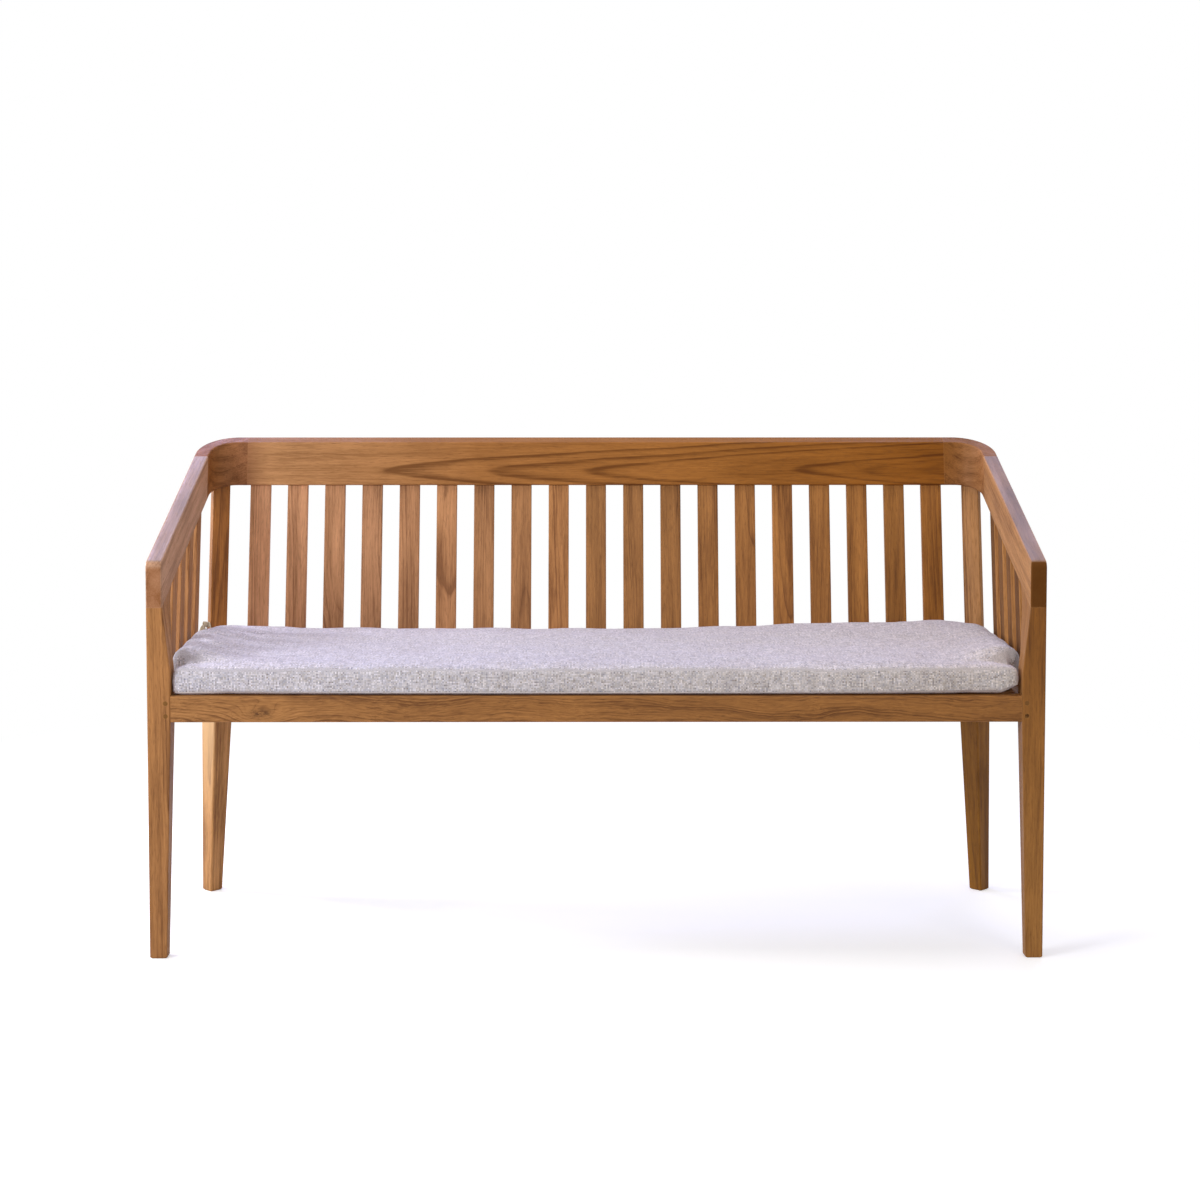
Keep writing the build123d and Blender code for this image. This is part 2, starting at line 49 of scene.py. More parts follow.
# Camera.
LEG_FRONT = 0.28247  # from the origin to the front face of the legs
CAMERA_DISTANCE = 3.7  # in front of that face
CAMERA_TILT = 3.476  # degrees below the level
CAMERA_TURN = -0.2076
camera_data = bpy.data.cameras.new("camera")
camera_data.sensor_width = 36.0
camera_data.lens = 67.134
camera_data.shift_y = -0.13256
camera_data.clip_end = 60
camera = bpy.data.objects.new("camera", camera_data)
camera.location = (-0.00765, -CAMERA_DISTANCE - LEG_FRONT, 1.0955)
camera.rotation_euler = (math.radians(90 - CAMERA_TILT), 0, math.radians(CAMERA_TURN))
scene.collection.objects.link(camera)
scene.camera = camera


def srgb(code):
    """Linear colour of a hex code."""
    parts = [int(code[i : i + 2], 16) / 255 for i in (0, 2, 4)]
    return tuple(c / 12.92 if c <= 0.04045 else ((c + 0.055) / 1.055) ** 2.4 for c in parts)


def as_hex(colour):
    """Hex code of a linear colour."""
    parts = [12.92 * c if c <= 0.0031308 else 1.055 * c ** (1 / 2.4) - 0.055 for c in colour]
    return "".join(f"{round(255 * c):02x}" for c in parts)


def scaled(colour, factor):
    return tuple(min(c * factor, 1.0) for c in colour)


def mixed(a, b, share):
    return tuple(x + (y - x) * share for x, y in zip(a, b))


class Tree:
    """Node tree of a material or of the world, written as calls."""

    def __init__(self, owner):
        self.owner = owner
        owner.use_nodes = True
        self.tree = owner.node_tree
        self.tree.nodes.clear()

    def node(self, kind, sockets=None, **settings):
        made = self.tree.nodes.new(kind)
        for key, value in settings.items():
            setattr(made, key, value)
        for key, value in (sockets or {}).items():
            self.feed(made.inputs[key], value)
        return made

    def feed(self, socket, value):
        if isinstance(value, bpy.types.NodeSocket):
            self.tree.links.new(value, socket)
        elif socket.type == "RGBA" and len(value) == 3:
            socket.default_value = (*value, 1.0)
        else:
            socket.default_value = value

    def math(self, operation, a, b=0.0, c=0.0):
        return self.node("ShaderNodeMath", {0: a, 1: b, 2: c}, operation=operation).outputs[0]

    def vector(self, operation, a, b=(0, 0, 0), scale=None):
        made = self.node("ShaderNodeVectorMath", {0: a, 1: b}, operation=operation)
        if scale is not None:
            self.feed(made.inputs["Scale"], scale)
        return made.outputs["Value" if operation in ("LENGTH", "DOT_PRODUCT") else "Vector"]

    def noise(self, vector, scale, detail, roughness, colour=False):
        sockets = {"Vector": vector, "Scale": scale, "Detail": detail, "Roughness": roughness}
        made = self.node("ShaderNodeTexNoise", sockets, noise_dimensions="3D")
        return made.outputs["Color" if colour else "Fac"]

    def noise_line(self, value, scale, detail):
        sockets = {"W": value, "Scale": scale, "Detail": detail}
        return self.node("ShaderNodeTexNoise", sockets, noise_dimensions="1D").outputs["Fac"]

    def ramp(self, value, stops, interpolation="LINEAR"):
        made = self.node("ShaderNodeValToRGB", {"Fac": value})
        made.color_ramp.interpolation = interpolation
        elements = made.color_ramp.elements
        while len(elements) < len(stops):
            elements.new(0.5)
        for element, (place, colour) in zip(elements, stops):
            element.position = place
            shade = colour if isinstance(colour, tuple) else (colour,) * 3
            element.color = (*shade, 1.0)
        return made.outputs["Color"]

    def remap(self, value, low, high, to_low=0.0, to_high=1.0):
        made = self.node(
            "ShaderNodeMapRange",
            {"Value": value, "From Min": low, "From Max": high, "To Min": to_low, "To Max": to_high},
        )
        return made.outputs["Result"]

    def mix(self, factor, a, b, blend="MIX"):
        """Mix of two colours."""
        sockets = {0: factor, 6: a, 7: b}
        made = self.node("ShaderNodeMix", sockets, data_type="RGBA", blend_type=blend)
        return made.outputs[2]

    def choose(self, factor, a, b):
        """Mix of two numbers."""
        return self.node("ShaderNodeMix", {0: factor, 2: a, 3: b}, data_type="FLOAT").outputs[0]

    def finish(self, shader, output="ShaderNodeOutputMaterial"):
        self.node(output, {"Surface": shader})
        return self.owner


# Noises of the wood: stretch along the grain, scale per metre, detail, roughness.
BROAD = (0.07, 62.0, 3.0, 0.55)
BLOTCH = (0.35, 13.0, 2.0, 0.5)
FIBRE = (0.022, 520.0, 3.0, 0.6)
FINE = (0.03, 1500.0, 2.0, 0.6)
DASH = (0.06, 1150.0, 1.0, 0.4)
FLECK = (0.085, 430.0, 2.0, 0.55)
KNOT_GRIT = (0.5, 260.0, 2.0, 0.6)
DRIFT = (11.0, 3.0, 0.45)  # without the stretch, which each piece sets

# How much each of them changes the wood, from none to all.
FIBRE_SHARE = 0.34
BLOTCH_SHARE = 0.30
FINE_SHARE = 0.22
PORE_SHARE = 0.38
KNOT_SHARE = 0.8
SAP_SHARE = 0.85

# One growth ring: a soft rise to a dark late line, then a sharp end.
RING_PROFILE = [(0.0, 0.5), (0.12, 0.12), (0.5, 0.0), (0.86, 0.55), (0.97, 1.0), (1.0, 0.7)]
LINE_END = 0.0016  # width in which a chosen late line ends
EDGE_WEAR_AND_HIGHLIGHT_RADIUS = 0.0022
PORE_DEPTH = 0.0006


def drawn_out(t, source, stretch, scale, detail, roughness, colour=False):
    """Noise drawn out along the grain, the local Z axis."""
    return t.noise(t.vector("MULTIPLY", source, (1, 1, stretch)), scale, detail, roughness, colour)


def even_rings(t, radius, spacing):
    """Growth rings of about the same spacing, some stronger than others."""
    turns = t.math("DIVIDE", radius, spacing)
    wander = t.noise_line(turns, 0.8, 2.0)
    turns = t.math("MULTIPLY_ADD", wander, 1.6, turns)
    ring = t.ramp(t.math("FRACT", turns), RING_PROFILE)
    weight = t.remap(t.noise_line(turns, 0.37, 1.0), 0.35, 0.65, 0.15, 1.0)
    return t.math("MULTIPLY", ring, weight)


def chosen_rings(t, radius, lines):
    """Growth rings with a late line at each radius, strength and width of the rise in lines."""
    reach = lines[-1][0] * 1.08
    stops = [(0.0, 0.0)]
    for at, strength, rise in lines:
        stops += [
            ((at - rise) / reach, 0.0),
            (at / reach, strength),
            ((at + LINE_END) / reach, 0.0),
        ]
    return t.ramp(t.math("DIVIDE", radius, reach), stops, "EASE")


def wood(name, axis, centre, pith, tones, spacing, taper, warp, seed, lines=None, knots=(),
         ring_share=0.55, streak_share=0.50, flecks=0.14, swirl=0.28, tint=None, painted_lit_side=None,
         end=None, end_range=(0.80, 0.97), face=None, gloss=0.26, wear=1.0):
    """Oiled teak. Growth rings are cones round a pith line that runs along the grain.

    spacing, taper, warp, swirl: of the growth rings; lines: their radii, where they are chosen.
    knots: place, size and push of the rings.
    tint: stops (place along the grain, colour) that multiply the colour of a long piece.
    painted_lit_side: direction, start, end and colour of a paler side, painted light on the side that
    faces the lamps.
    end: colour and share of the end grain; end_range: where it starts and where it is full.
    face: direction, colour and share of a colour painted on one face: painted shade, a painted
    reflection or painted light.
    """
    t = Tree(bpy.data.materials.new(name))
    turn = Vector(axis).normalized().rotation_difference(Vector((0, 0, 1)))
    place = Vector(pith) - turn @ Vector(centre)
    coords = t.node("ShaderNodeTexCoord").outputs["Object"]
    local = t.node(
        "ShaderNodeMapping",
        {"Vector": coords, "Location": place, "Rotation": turn.to_euler()},
    ).outputs["Vector"]
    offset = (seed, seed * 0.7, seed * 1.3)
    shifted = t.vector("ADD", local, offset)
    drift = drawn_out(t, shifted, swirl, *DRIFT, colour=True)
    drift = t.vector("SUBTRACT", drift, (0.5, 0.5, 0.5))
    bent = t.vector("ADD", local, t.vector("SCALE", drift, scale=warp))
    laid = t.vector("ADD", bent, offset)
    split = t.node("ShaderNodeSeparateXYZ", {0: bent})
    flat = t.node("ShaderNodeCombineXYZ", {0: split.outputs[0], 1: split.outputs[1]}).outputs[0]
    radius = t.vector("LENGTH", flat)
    radius = t.math("MULTIPLY_ADD", split.outputs[2], taper, radius)
    core = None
    for point, size, push in knots:
        # Rings swing round a knot, whose core is dark.
        away = t.vector("SUBTRACT", local, turn @ Vector(point) + place)
        away = t.vector("LENGTH", t.vector("MULTIPLY", away, (1 / size, 1 / size, 0.45 / size)))
        pull = t.math("POWER", t.remap(away, 1.0, 0.0), 2.0)
        radius = t.math("MULTIPLY_ADD", pull, push, radius)
        spot = t.remap(away, 0.34, 0.08)
        core = spot if core is None else t.math("MAXIMUM", core, spot)
    if core is not None:
        grit = drawn_out(t, shifted, *KNOT_GRIT)
        core = t.math("MULTIPLY", core, t.remap(grit, 0.46, 0.60, 0.25, 1.0))

    ring = even_rings(t, radius, spacing) if lines is None else chosen_rings(t, radius, lines)
    broad = drawn_out(t, bent, *BROAD)
    blotch = drawn_out(t, shifted, *BLOTCH)
    fibre = drawn_out(t, laid, *FIBRE)
    fine = drawn_out(t, laid, *FINE)
    fleck = drawn_out(t, laid, *FLECK)
    pores = t.remap(drawn_out(t, laid, *DASH), 0.60, 0.70)

    light, middle, dark = tones
    depth = t.math("MULTIPLY", ring, ring_share)
    for noise, share in ((broad, streak_share), (fibre, FIBRE_SHARE), (blotch, BLOTCH_SHARE)):
        depth = t.math("MULTIPLY_ADD", t.remap(noise, 0.3, 0.7), share, depth)
    depth = t.math("MULTIPLY_ADD", t.remap(fleck, 0.3, 0.7, -0.5, 0.5), flecks, depth)
    colour = t.ramp(depth, [(0.16, light), (0.58, middle), (1.0, dark)])
    if tint is not None:
        first, last = tint[0][0], tint[-1][0]
        run = t.node("ShaderNodeSeparateXYZ", {0: local}).outputs[2]
        run = t.math("SUBTRACT", run, pith[2])
        stops = [((at - first) / (last - first), shade) for at, shade in tint]
        colour = t.mix(1.0, colour, t.ramp(t.remap(run, first, last), stops), "MULTIPLY")
    if core is not None:
        colour = t.mix(t.math("MULTIPLY", core, KNOT_SHARE), colour, scaled(dark, 0.4))
    colour = t.mix(t.math("MULTIPLY", pores, PORE_SHARE), colour, scaled(dark, 0.55))
    veil = t.remap(fine, 0.35, 0.7, 0.0, FINE_SHARE)
    colour = t.mix(veil, colour, scaled(middle, 0.62), "MULTIPLY")

    # Painted light: one side of the piece is made paler.
    if painted_lit_side is not None:
        way, near, far, pale = painted_lit_side
        out = t.vector("SUBTRACT", local, Vector(pith))
        out = t.vector("DOT_PRODUCT", out, Vector(way).normalized())
        colour = t.mix(t.remap(out, near, far, 0.0, SAP_SHARE), colour, pale)

    normal = t.node("ShaderNodeNewGeometry").outputs["Normal"]
    facing = t.vector("DOT_PRODUCT", normal, Vector(axis).normalized())
    end_grain = t.remap(t.math("ABSOLUTE", facing), *end_range)
    end_shade, end_share = end or (scaled(dark, 0.9), 0.35)
    colour = t.mix(t.math("MULTIPLY", end_grain, end_share), colour, end_shade)

    # Painted light and shade: one face of the piece is mixed towards a darker or paler colour.
    if face is not None:
        way, shade, most = face
        painted_face_mask = t.vector("DOT_PRODUCT", normal, Vector(way).normalized())
        spread = t.remap(blotch, 0.35, 0.65, 0.75 * most, most)
        painted_face_mask = t.math("MULTIPLY", t.remap(painted_face_mask, 0.70, 0.92), spread)
        colour = t.mix(painted_face_mask, colour, shade)

    # Edges made paler: partly rubbed wear, partly a painted highlight along the rounded edges.
    bevel = t.node("ShaderNodeBevel", {"Radius": EDGE_WEAR_AND_HIGHLIGHT_RADIUS}, samples=4).outputs["Normal"]
    lit_and_worn_edge = t.remap(t.vector("DOT_PRODUCT", bevel, normal), 0.995, 0.90)
    lit_and_worn_edge = t.math("MULTIPLY", lit_and_worn_edge, t.remap(broad, 0.35, 0.6, 0.12 * wear, 0.42 * wear))
    colour = t.mix(lit_and_worn_edge, colour, light)

    rough = t.remap(broad, 0.3, 0.7, 0.44, 0.60)
    rough = t.math("MULTIPLY_ADD", pores, 0.15, rough)
    rough = t.math("MAXIMUM", rough, t.math("MULTIPLY", end_grain, 0.85))
    height = t.math("MULTIPLY_ADD", fibre, 0.6, t.math("MULTIPLY", pores, -0.7))
    height = t.math("MULTIPLY_ADD", ring, 0.25, height)
    bump = t.node("ShaderNodeBump", {"Height": height, "Strength": 0.35, "Distance": PORE_DEPTH})
    shader = t.node(
        "ShaderNodeBsdfPrincipled",
        {
            "Base Color": colour,
            "Roughness": rough,
            "Normal": bump.outputs["Normal"],
            "Specular IOR Level": t.math("MULTIPLY_ADD", end_grain, -0.75 * gloss, gloss),
        },
    )
    return t.finish(shader.outputs[0])


def tones(code):
    """Light, middle and dark wood colours round one hex colour."""
    middle = srgb(code)
    light = tuple(min(c * (1 + k), 1) for c, k in zip(middle, (0.34, 0.38, 0.46)))
    dark = tuple(c * (1 - k) for c, k in zip(middle, (0.50, 0.57, 0.64)))
    return light, middle, dark


RAKE = math.radians(12.5)  # of the back
SLOPE = math.radians(17.3)  # of the arms
SPLAY = 0.042  # of the rear legs, sideways and to the back
LEAN = (0, math.sin(RAKE), math.cos(RAKE))
ARM = (0, math.cos(SLOPE), math.sin(SLOPE))
UP = (0, 0, 1)
HALF_WIDTH = 0.75
PLAIN = (1.0, 1.0, 1.0)  # no tint
draw = random.Random(11)

# Base colour of each kind of piece, left and right where they differ.
COLOURS = {
    "arm_left": "b58968",
    "arm_right": "b07d4b",
    "corner_block_left": "92603c",
    "corner_block_right": "ad7748",
    "front_leg_left": "a36f3d",
    "front_leg_right": "a47136",
    "rear_leg_left": "bb8650",
    "rear_leg_right": "8f5d17",
    "seat_front_rail": "a4713e",
    "seat_rear_rail": "94612f",
    "seat_side_rail_left": "8f5f34",
    "seat_side_rail_right": "9a6a3c",
    "seat_corner_block_left": "8c5c31",
    "seat_corner_block_right": "8c5c31",
    "corner_slat_left": "9b622a",
    "corner_slat_right": "b27c44",
    "front_rail_pegs": "8a6136",
}
BACK_RAIL_COLOUR = "b88658"
OTHER_COLOUR = "8f5f35"

# The back slats' colour runs from the middle to the left and to the right end.
SLAT_MIDDLE = "9a693a"
SLAT_LEFT = "c48f68"
SLAT_RIGHT = "965f20"

# Slats that are lighter or darker than their neighbours.
SLAT_TONES = {
    "back_slat_04": 0.93,
    "back_slat_06": 1.14,
    "back_slat_09": 1.26,
    "back_slat_11": 0.94,
    "back_slat_12": 0.94,
    "back_slat_15": 1.16,
    "back_slat_18": 0.90,
    "back_slat_19": 1.08,
}

# Side slats by side: base colour, and colour and share of the painted shade on the inner face.
SIDE_SLATS = {-1: ("b07d50", "83583a", 0.35), 1: ("b9834e", "55320f", 0.85)}

# What sets one piece apart from others of its kind.
SINGLE = {
    # Painted reflection: the top faces of both arms are mixed towards a cool grey, for the sheen of
    # the light from above.
    "arm_left": {"face": (UP, srgb("7c736c"), 0.52), "end": (srgb("8c5122"), 0.55)},
    "arm_right": {
        "face": (UP, srgb("605a63"), 0.66),
        "end": (srgb("603811"), 0.95),
        "end_range": (0.20, 0.50),
    },
    "corner_block_left": {
        "tint": [(-0.045, PLAIN), (0.0, (0.96, 0.96, 0.80)), (0.045, (1.0, 0.90, 0.50))],
    },
    "corner_block_right": {
        # Painted shade: the top face is mixed towards a dark brown.
        "face": (UP, srgb("70441f"), 0.60),
        "tint": [(-0.045, (0.60, 0.51, 0.26)), (0.0, (0.79, 0.79, 0.80)), (0.045, PLAIN)],
    },
    "front_leg_right": {
        "tint": [(-0.3, PLAIN), (0.3, (0.56, 0.43, 0.12))],
        # Painted light: the inner face is mixed towards a paler brown, for the light thrown on it by
        # the cushion.
        "face": ((-1, 0, 0), srgb("c08c5c"), 0.35),
    },
    # Painted light: the side that faces left and forward, towards the lamps, is made paler.
    "rear_leg_left": {"painted_lit_side": ((-1, -1, 0), 0.016, 0.0215, srgb("deb482"))},
    "seat_front_rail": {
        "knots": [((-0.560, -0.2809, 0.414), 0.036, 0.024)],
        "taper": 0.03,
        "spacing": 0.0046,
        "warp": 0.048,
        "swirl": 0.42,
        "ring_share": 0.75,
        "streak_share": 0.36,
        "flecks": 0.34,
        # Painted light falloff: the colour darkens and warms towards the right, away from the lamps
        # at the left.
        "tint": [(-0.65, PLAIN), (-0.10, (0.84, 0.79, 0.66)), (0.65, (0.77, 0.70, 0.49))],
    },
    # Pointed flames that open to the right.
    "back_rail": {
        "taper": -0.047,
        "warp": 0.010,
        "streak_share": 0.30,
        "gloss": 0.10,
        "wear": 0.3,
        # Painted shade: the top face is mixed towards a dark brown.
        "face": (UP, srgb("80501e"), 0.75),
        # Painted light falloff: apart from its left end, the colour darkens and warms towards the
        # right, away from the lamps at the left.
        "tint": [
            (-0.655, (0.68, 0.62, 0.63)),
            (-0.615, PLAIN),
            (-0.22, (0.72, 0.60, 0.40)),
            (0.0, (0.685, 0.545, 0.30)),
            (0.26, (0.63, 0.48, 0.215)),
            (0.62, (0.53, 0.36, 0.09)),
        ],
        "lines": [
            (0.0040, 0.30, 0.0024),
            (0.0095, 0.35, 0.0024),
            (0.0158, 0.80, 0.0026),
            (0.0240, 0.25, 0.0040),
            (0.0345, 0.85, 0.0030),
            (0.0428, 0.80, 0.0060),
            (0.0530, 1.00, 0.0050),
            (0.0700, 0.18, 0.0120),
        ],
    },
}


def wood_for(name):
    """Wood of one piece: direction of the grain, middle, pith, colour and settings."""
    low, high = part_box(name)
    centre = (low + high) / 2
    side = 1 if centre.x > 0 else -1
    far = draw.uniform(0.03, 0.085)
    turn = draw.uniform(0, 2 * math.pi)
    pith = (far * math.cos(turn), far * math.sin(turn), draw.uniform(-0.4, 0.4))
    settings = {
        "seed": draw.uniform(0, 40),
        "spacing": draw.uniform(0.0045, 0.009),
        "taper": draw.uniform(-0.035, 0.035),
        "warp": draw.uniform(0.008, 0.018),
    }
    code = COLOURS.get(name)
    axis = (1, 0, 0)
    if "slat" in name:
        axis = LEAN
        settings.update(wear=0.45, streak_share=0.44)
        if code is None:
            across = centre.x / HALF_WIDTH
            outer = SLAT_LEFT if across < 0 else SLAT_RIGHT
            base = mixed(srgb(SLAT_MIDDLE), srgb(outer), abs(across))
            if name.startswith("side_slat"):
                base_code, painted_inner_shade, share = SIDE_SLATS[side]
                base = srgb(base_code)
                # Painted shade: the inner face of each side slat is mixed towards a darker brown.
                settings.update(gloss=0.14, face=((-side, 0, 0), srgb(painted_inner_shade), share))
            tone = draw.uniform(1.02, 1.14) * SLAT_TONES.get(name, 1.0)
            code = as_hex(scaled(base, tone))
    elif name.startswith("arm"):
        axis = ARM
        settings.update(gloss=0.35, ring_share=0.35)
    elif name.startswith(("corner_block", "seat_corner")):
        axis = (side, -1, 0)
        pith = (0.02, 0.16, 0.0)
        settings.update(ring_share=0.26, warp=0.024, gloss=0.12)
    elif name.startswith("front_leg"):
        axis = UP
    elif name.startswith("rear_leg"):
        axis = (-SPLAY * side, -SPLAY, 1)
    elif "side_rail" in name or "bearer" in name or "pegs" in name:
        axis = (0, 1, 0)
        if "pegs" in name:
            settings["knots"] = [((high.x - 0.004, low.y, low.z + 0.004), 0.06, 0.0)]
    if code is None:
        code = as_hex(scaled(srgb(OTHER_COLOUR), draw.uniform(0.85, 1.1)))
    if name == "back_rail":
        # Colour and pith are chosen, but drawn above too, so that the other draws stay.
        code = BACK_RAIL_COLOUR
        pith = (-0.010, 0.0465, -0.112)
    settings.update(SINGLE.get(name, {}))
    return axis, centre, pith, code, settings


for name in sorted(nodes):
    if name in ("cushion", "cushion_tie"):
        continue
    axis, centre, pith, code, settings = wood_for(name)
    made = wood(f"teak_{name}", axis, centre, pith, tones(code), **settings)
    for slot in nodes[name].material_slots:
        slot.material = made


YARN_PITCH = 0.0026
SLUB_RUN = 0.16  # how fast a yarn changes along its run
SPECK_SHARE = 0.16
SEAM_HEIGHT = 0.4492
SEAM_RISE = 0.0085  # at the right corner
STITCH_ABOVE = 0.0024  # the seam
PAINTED_LIGHT_DRIFT = [(0.0, (0.975, 0.985, 1.09)), (0.5, (0.975, 0.975, 1.02)), (1.0, (0.955, 0.925, 0.90))]


def linen():
    """Plain-woven melange linen in off-white and greige yarns."""
    t = Tree(bpy.data.materials.new("linen"))
    texture = t.node("ShaderNodeTexCoord")
    x, y, z = t.node("ShaderNodeSeparateXYZ", {0: texture.outputs["Object"]}).outputs
    normal = t.node("ShaderNodeSeparateXYZ", {0: texture.outputs["Normal"]})
    up = t.remap(t.math("ABSOLUTE", normal.outputs[2]), 0.55, 0.80)
    side = t.remap(t.math("ABSOLUTE", normal.outputs[0]), 0.60, 0.80)
    u = t.math("DIVIDE", t.choose(side, x, y), YARN_PITCH)
    v = t.math("DIVIDE", t.choose(up, z, y), YARN_PITCH)

    def wave(value):
        return t.math("ABSOLUTE", t.math("SINE", t.math("MULTIPLY", value, math.pi)))

    # Yarn under and over: a checker says which yarn is on top.
    parity = t.math("ADD", t.math("FLOOR", u), t.math("FLOOR", v))
    over = t.math("PINGPONG", parity, 1.0)
    warp_height = t.math("MULTIPLY", wave(u), t.math("MULTIPLY_ADD", wave(v), 0.45, 0.55))
    weft_height = t.math("MULTIPLY", wave(v), t.math("MULTIPLY_ADD", wave(u), 0.45, 0.55))
    height = t.choose(over, warp_height, weft_height)

    def numbered(value, step):
        """Value that is the same over one yarn, and far from the next yarn's."""
        return t.math("MULTIPLY", t.math("FLOOR", value), step)

    def yarn(number, run, seed):
        """Shade of a yarn: one value for each yarn, with slubs along its run."""
        sockets = {0: numbered(number, 7.31), 1: t.math("MULTIPLY", run, SLUB_RUN), 2: seed}
        return t.noise(t.node("ShaderNodeCombineXYZ", sockets).outputs[0], 1.0, 2.0, 0.6)

    shade = t.choose(over, yarn(u, v, 3.7), yarn(v, u, 11.9))
    crossing = t.node("ShaderNodeCombineXYZ", {0: numbered(u, 3.71), 1: numbered(v, 5.13)}).outputs[0]
    hue = t.noise(crossing, 1.0, 1.0, 0.5)
    speck = t.noise(t.vector("ADD", crossing, (40.0, 17.0, 9.0)), 1.0, 1.0, 0.5)
    shade = t.math("MULTIPLY_ADD", t.remap(speck, 0.3, 0.7, -0.5, 0.5), SPECK_SHARE, shade)
    paleness = t.remap(shade, 0.26, 0.74)
    cool = t.mix(paleness, srgb("8c8c95"), srgb("ece7e8"))
    warm = t.mix(paleness, srgb("968979"), srgb("f3ece6"))
    colour = t.mix(t.remap(hue, 0.32, 0.68), cool, warm)
    # Painted shade in the gaps between the yarns.
    gap = t.remap(height, 0.0, 0.35, 0.30, 0.0)
    colour = t.mix(gap, colour, srgb("8d8278"))
    wide = t.noise(texture.outputs["Object"], 9.0, 2.0, 0.5)
    colour = t.mix(t.remap(wide, 0.35, 0.65, 0.0, 0.10), colour, srgb("c9b8a8"), "MULTIPLY")
    # Painted light falloff: the cloth is a little cooler at the left and darker and warmer towards
    # the right.
    colour = t.mix(1.0, colour, t.ramp(t.remap(x, -0.7, 0.7), PAINTED_LIGHT_DRIFT), "MULTIPLY")
    # Seam along the lower edge, which rises at the right corner.
    rise = t.remap(x, 0.672, 0.704, 0.0, SEAM_RISE)
    above = t.math("SUBTRACT", t.math("SUBTRACT", z, SEAM_HEIGHT), rise)
    pale = t.remap(t.math("ABSOLUTE", above), 0.0013, 0.0006)
    colour = t.mix(t.math("MULTIPLY", pale, 0.7), colour, srgb("f2efec"))
    stitch = t.math("ABSOLUTE", t.math("SUBTRACT", above, STITCH_ABOVE))
    stitch = t.remap(stitch, 0.0011, 0.0004)
    colour = t.mix(t.math("MULTIPLY", stitch, 0.22), colour, srgb("8d8278"))

    bump = t.node("ShaderNodeBump", {"Height": height, "Strength": 0.5, "Distance": 0.0007})
    shader = t.node(
        "ShaderNodeBsdfPrincipled",
        {
            "Base Color": colour,
            "Roughness": t.remap(shade, 0.3, 0.7, 0.92, 0.78),
            "Normal": bump.outputs["Normal"],
            "Sheen Weight": 0.35,
            "Sheen Roughness": 0.5,
            "Sheen Tint": srgb("dcd8ff"),
        },
    )
    return t.finish(shader.outputs[0])


# Cushion: the solid's form, slightly smaller, puffed by a pressure simulation.
def rows_of(items, attribute, kind, width):
    """Attribute of all vertices or edges as an array of rows."""
    values = np.empty(len(items) * width, kind)
    items.foreach_get(attribute, values)
    return values.reshape(-1, width)


def points_of(mesh):
    return rows_of(mesh.vertices, "co", np.float32, 3).astype(float)


def normals_of(mesh):
    return rows_of(mesh.vertices, "normal", np.float32, 3).astype(float)


def edges_of(mesh):
    return rows_of(mesh.edges, "vertices", np.int32, 2)


def set_points(mesh, points):
    mesh.vertices.foreach_set("co", points.astype(np.float32).ravel())
    mesh.update()


def smooth_shaded(mesh):
    for polygon in mesh.polygons:
        polygon.use_smooth = True


def remeshed(source, name, voxel):
    """New object with an even mesh of the source's form."""
    made = bpy.data.objects.new(name, source.data.copy())
    scene.collection.objects.link(made)
    made.data.materials.clear()
    modifier = made.modifiers.new("even", "REMESH")
    modifier.mode = "VOXEL"
    modifier.voxel_size = voxel
    graph = bpy.context.evaluated_depsgraph_get()
    even = bpy.data.meshes.new_from_object(made.evaluated_get(graph))
    made.modifiers.clear()
    made.data = even
    return made


def puffed(obj, pressure, last_frame):
    """Places of the points after a pressure simulation without gravity."""
    modifier = obj.modifiers.new("puff", "CLOTH")
    settings = modifier.settings
    settings.use_pressure = True
    settings.uniform_pressure_force = pressure
    settings.effector_weights.gravity = 0
    settings.mass = 0.3
    settings.quality = 4
    settings.tension_stiffness = 15
    settings.compression_stiffness = 15
    settings.bending_stiffness = 0.5
    for number in range(1, last_frame + 1):
        scene.frame_set(number)
    graph = bpy.context.evaluated_depsgraph_get()
    settled = points_of(obj.evaluated_get(graph).to_mesh())
    obj.modifiers.remove(modifier)
    scene.frame_set(1)
    return settled


VOXEL = 0.006
INSET = 0.004  # of the sides and the top before the simulation
INSET_RISE = 0.02  # height above the underside at which the inset is full
PUFF_CAP = 0.0055  # farthest that the simulation moves a point
PRESSURE = 4.0
PUFF_FRAMES = 20
cushion = remeshed(nodes["cushion"], "seat_cushion", VOXEL)
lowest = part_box("cushion")[0].z
start = points_of(cushion.data)
top_share = np.clip((start[:, 2] - lowest) / INSET_RISE, 0, 1)[:, None]
start = start - normals_of(cushion.data) * INSET * top_share
start[:, 2] = np.maximum(start[:, 2], lowest)
set_points(cushion.data, start)
moved = puffed(cushion, PRESSURE, PUFF_FRAMES) - start
length = np.linalg.norm(moved, axis=1, keepdims=True)
shaped = start + moved * np.minimum(1.0, PUFF_CAP / np.maximum(length, 1e-9))


def smoothstep(low, high, value):
    share = np.clip((value - low) / (high - low), 0.0, 1.0)
    return share * share * (3 - 2 * share)


def near_line(points, start, end, width):
    """1 on a line in plan, falling to 0 at about twice the width."""
    start, end = np.array(start), np.array(end)
    along = end - start
    share = np.clip((points[:, :2] - start) @ along / (along @ along), 0.0, 1.0)
    gap = points[:, :2] - start - share[:, None] * along
    return np.exp(-np.sum(gap**2, axis=1) / width**2)


END_LIMIT = 0.7222  # half width that stays clear of the side slats
NOTCH_LIMIT = 0.7096  # half width that stays clear of the front legs
NOTCH_DEPTH = -0.2385

